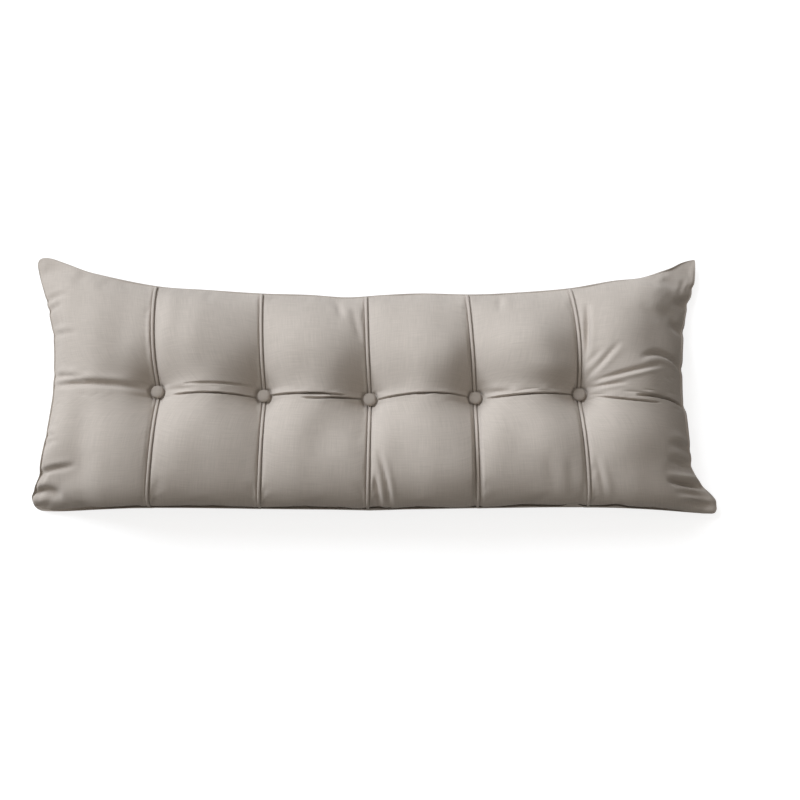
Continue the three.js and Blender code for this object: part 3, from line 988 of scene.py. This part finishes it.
def welt_section():
    """A welt's rounded section: places beside its middle and over its underside."""
    section = []
    for angle in np.linspace(0, 2 * math.pi, WELT_SIDES + 1)[:-1]:
        side = math.copysign(abs(math.cos(angle)) ** WELT_SIDE_POWER, math.cos(angle))
        up = math.copysign(abs(math.sin(angle)) ** WELT_TOP_POWER, math.sin(angle))
        section.append((side * WELT_WIDTH / 2, WELT_THICKNESS / 2 * (1 + up)))
    return section


def make_welt(number):
    """A folded strip of cloth, sewn into the seam between two panels from edge to edge."""
    rises = row_places(WELT_STEP, WELT_STEP, WELT_STEP)
    on_welt = np.full_like(rises, number)
    x, y = plan_at(on_welt, rises)
    floor = front_height(on_welt, rises) - GROOVE_DEPTH * rim_plumpness(rises)
    section = welt_section()
    points = []
    for place in range(len(rises)):
        for side, up in section:
            points.append((x[place] + side, y[place], floor[place] + CLEARANCE + up))
    travelled = np.concatenate([[0], np.cumsum(np.hypot(np.diff(y), np.diff(floor)))]) * MM
    round_step = 2 * (WELT_WIDTH + WELT_THICKNESS) / WELT_SIDES * MM
    faces = band_faces(len(rises), WELT_SIDES)
    uv = []
    for place in range(len(rises) - 1):
        for side in range(WELT_SIDES):
            for corner, along in ((side, place), (side + 1, place), (side + 1, place + 1), (side, place + 1)):
                uv.append((corner * round_step, travelled[along]))
    first_end = range(WELT_SIDES)
    last_end = range(len(points) - WELT_SIDES, len(points))
    faces += [tuple(reversed(first_end)), tuple(last_end)]
    uv.extend([(0, 0)] * (2 * WELT_SIDES))
    return new_piece(f"welt_strip_{number}", points, faces, uv)


def make_button(number, welt):
    """A button form covered in cloth: a low dome whose cover is gathered under its rim."""
    seat = BUTTON_HEIGHT - GROOVE_DEPTH + CLEARANCE + WELT_THICKNESS + CLEARANCE
    points = []
    for radius, up in BUTTON_PROFILE:
        for turn in range(BUTTON_TURNS):
            angle = 2 * math.pi * turn / BUTTON_TURNS
            x = welt.button + BUTTON_RADIUS * radius * math.cos(angle)
            y = welt.button_y + BUTTON_RADIUS * radius * math.sin(angle)
            points.append((x, y, seat + BUTTON_DEPTH * up))
    top = len(points)
    last = top - BUTTON_TURNS
    points.append((welt.button, welt.button_y, seat + BUTTON_DEPTH))
    faces = [tuple(reversed(range(BUTTON_TURNS)))]
    faces += band_faces(len(BUTTON_PROFILE), BUTTON_TURNS)
    for turn in range(BUTTON_TURNS):
        faces.append((last + turn, last + (turn + 1) % BUTTON_TURNS, top))
    uv = []
    for face in faces:
        for corner in face:
            uv.append((points[corner][0] * MM, points[corner][1] * MM))
    return new_piece(f"button_cover_{number}", points, faces, uv)


def slot_colour(name):
    """The record's colour for a material slot."""
    for material in frame["record"]["materials"]:
        if material["slot"] == name:
            return material["base_color"]
    raise KeyError(name)


def linen(slot, painted_shade=1):
    """Plain-woven linen-look cloth: crossing threads, thicker slubs and a slightly uneven dye, darkened by
    painted_shade as a painted shadow.
    """
    material = bpy.data.materials.new(slot)
    material.use_nodes = True
    nodes = material.node_tree.nodes
    links = material.node_tree.links
    shader = nodes["Principled BSDF"]
    place = nodes.new("ShaderNodeTexCoord")

    def stretched_noise(scale):
        mapping = nodes.new("ShaderNodeMapping")
        mapping.inputs["Scale"].default_value = scale
        texture = nodes.new("ShaderNodeTexNoise")
        texture.inputs["Scale"].default_value = 1
        texture.inputs["Detail"].default_value = THREAD_DETAIL
        links.new(place.outputs["UV"], mapping.inputs["Vector"])
        links.new(mapping.outputs["Vector"], texture.inputs["Vector"])
        return texture.outputs["Fac"]

    def average(first, second):
        total = nodes.new("ShaderNodeMath")
        total.operation = "ADD"
        links.new(first, total.inputs[0])
        links.new(second, total.inputs[1])
        half = nodes.new("ShaderNodeMath")
        half.operation = "MULTIPLY"
        half.inputs[1].default_value = 0.5
        links.new(total.outputs[0], half.inputs[0])
        return half.outputs[0]

    warp = stretched_noise((THREAD_CELLS, SLUB_CELLS, 1))
    weft = stretched_noise((SLUB_CELLS, THREAD_CELLS, 1))
    threads = average(warp, weft)
    # painted_shade darkens the record's colour: a painted shadow, not the cloth's own colour
    colour = [channel * painted_shade for channel in slot_colour(slot)]
    ramp = nodes.new("ShaderNodeValToRGB")
    for stop, position, dye in zip(ramp.color_ramp.elements, DYE_RANGE, DYE_SHADES):
        stop.position = position
        stop.color = (*(channel * dye for channel in colour), 1)
    links.new(threads, ramp.inputs["Fac"])
    links.new(ramp.outputs["Color"], shader.inputs["Base Color"])
    bump = nodes.new("ShaderNodeBump")
    bump.inputs["Strength"].default_value = WEAVE_STRENGTH
    bump.inputs["Distance"].default_value = WEAVE_HEIGHT
    links.new(threads, bump.inputs["Height"])
    links.new(bump.outputs["Normal"], shader.inputs["Normal"])
    shader.inputs["Roughness"].default_value = CLOTH_ROUGHNESS
    shader.inputs["Specular IOR Level"].default_value = CLOTH_SPECULAR
    shader.inputs["Sheen Weight"].default_value = CLOTH_SHEEN
    shader.inputs["Sheen Roughness"].default_value = SHEEN_ROUGHNESS
    return material


def finish_piece(piece, node, material):
    piece.data.materials.append(material)
    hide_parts(node)
    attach(piece, "root")


def build_pillow():
    panel_cloth = linen("panel_cloth")
    welt_cloth = linen("welt_cloth")
    # The buttons' cloth is painted darker: a painted shadow of the dimples that they sit in
    button_cloth = linen("button_cloth", BUTTON_PAINTED_SHADE)
    cushion = make_cushion()
    finish_piece(cushion, "cushion", panel_cloth)
    for number, welt in enumerate(WELTS, 1):
        finish_piece(make_welt(number), f"welt_{number}", welt_cloth)
        finish_piece(make_button(number, welt), f"button_{number}", button_cloth)


def build_floor():
    """The white floor; it neither lights the pillow nor casts a shadow."""
    profile = [(FLOOR_MIDDLE, 0), (FLOOR_RADIUS, 0)]
    for turn in np.linspace(0, math.pi / 2, WALL_BEND_STEPS + 1)[1:]:
        profile.append((FLOOR_RADIUS + WALL_BEND * math.sin(turn), WALL_BEND * (1 - math.cos(turn))))
    profile.append((FLOOR_RADIUS + WALL_BEND, WALL_HEIGHT))
    points = []
    for radius, height in profile:
        for turn in range(FLOOR_TURNS):
            angle = 2 * math.pi * turn / FLOOR_TURNS
            points.append((radius * math.cos(angle), radius * math.sin(angle), height))
    faces = []
    for face in band_faces(len(profile), FLOOR_TURNS):
        faces.append((face[0], face[3], face[2], face[1]))
    mesh = bpy.data.meshes.new("backdrop")
    mesh.from_pydata(points, [], faces)
    mesh.polygons.foreach_set("use_smooth", [True] * len(mesh.polygons))
    floor = bpy.data.objects.new("backdrop", mesh)
    bpy.context.scene.collection.objects.link(floor)
    material = bpy.data.materials.new("floor_paint")
    material.use_nodes = True
    shader = material.node_tree.nodes["Principled BSDF"]
    shader.inputs["Base Color"].default_value = FLOOR_COLOUR
    shader.inputs["Roughness"].default_value = FLOOR_ROUGHNESS
    shader.inputs["Emission Color"].default_value = FLOOR_GLOW_COLOUR
    shader.inputs["Emission Strength"].default_value = FLOOR_GLOW
    mesh.materials.append(material)
    floor.visible_diffuse = False
    floor.visible_shadow = False


def build_room():
    """The room's own light, from dark to bright towards one side."""
    world = bpy.data.worlds.new("studio")
    world.use_nodes = True
    nodes = world.node_tree.nodes
    links = world.node_tree.links
    background = nodes["Background"]
    direction = nodes.new("ShaderNodeTexCoord")
    towards = nodes.new("ShaderNodeVectorMath")
    towards.operation = "DOT_PRODUCT"
    towards.inputs[1].default_value = SKY_TOWARDS
    fade = nodes.new("ShaderNodeValToRGB")
    fade.color_ramp.interpolation = "EASE"
    fade.color_ramp.elements[0].color = (*SKY_DARK, 1)
    fade.color_ramp.elements[1].color = (*SKY_BRIGHT, 1)
    fade.color_ramp.elements[0].position = SKY_DARK_AT
    fade.color_ramp.elements[1].position = SKY_BRIGHT_AT
    shift = nodes.new("ShaderNodeMapRange")
    shift.inputs["From Min"].default_value = -1
    links.new(direction.outputs["Generated"], towards.inputs[0])
    links.new(towards.outputs["Value"], shift.inputs["Value"])
    links.new(shift.outputs["Result"], fade.inputs["Fac"])
    links.new(fade.outputs["Color"], background.inputs["Color"])
    bpy.context.scene.world = world


def build_lamp():
    """The wide soft source."""
    light = bpy.data.lights.new("window", "SUN")
    light.angle = LIGHT_SPREAD
    light.energy = LIGHT_STRENGTH
    light.color = LIGHT_COLOUR
    lamp = bpy.data.objects.new("window", light)
    direction = Vector((
        math.cos(LIGHT_ELEVATION) * math.cos(LIGHT_AZIMUTH),
        math.cos(LIGHT_ELEVATION) * math.sin(LIGHT_AZIMUTH),
        math.sin(LIGHT_ELEVATION),
    ))
    lamp.location = direction * LIGHT_DISTANCE
    lamp.rotation_euler = direction.to_track_quat("Z", "Y").to_euler()
    bpy.context.scene.collection.objects.link(lamp)


def place_camera():
    data = bpy.data.cameras.new("camera")
    data.lens = CAMERA_LENS
    camera = bpy.data.objects.new("camera", data)
    back = Vector((0, -math.sin(CAMERA_TILT), math.cos(CAMERA_TILT)))
    camera.location = Vector(CAMERA_AIM) + back * CAMERA_DISTANCE
    camera.rotation_euler = (CAMERA_TILT, 0, 0)
    bpy.context.scene.collection.objects.link(camera)
    bpy.context.scene.camera = camera


build_pillow()
build_floor()
build_room()
build_lamp()
place_camera()
bpy.context.scene.view_settings.view_transform = "Standard"
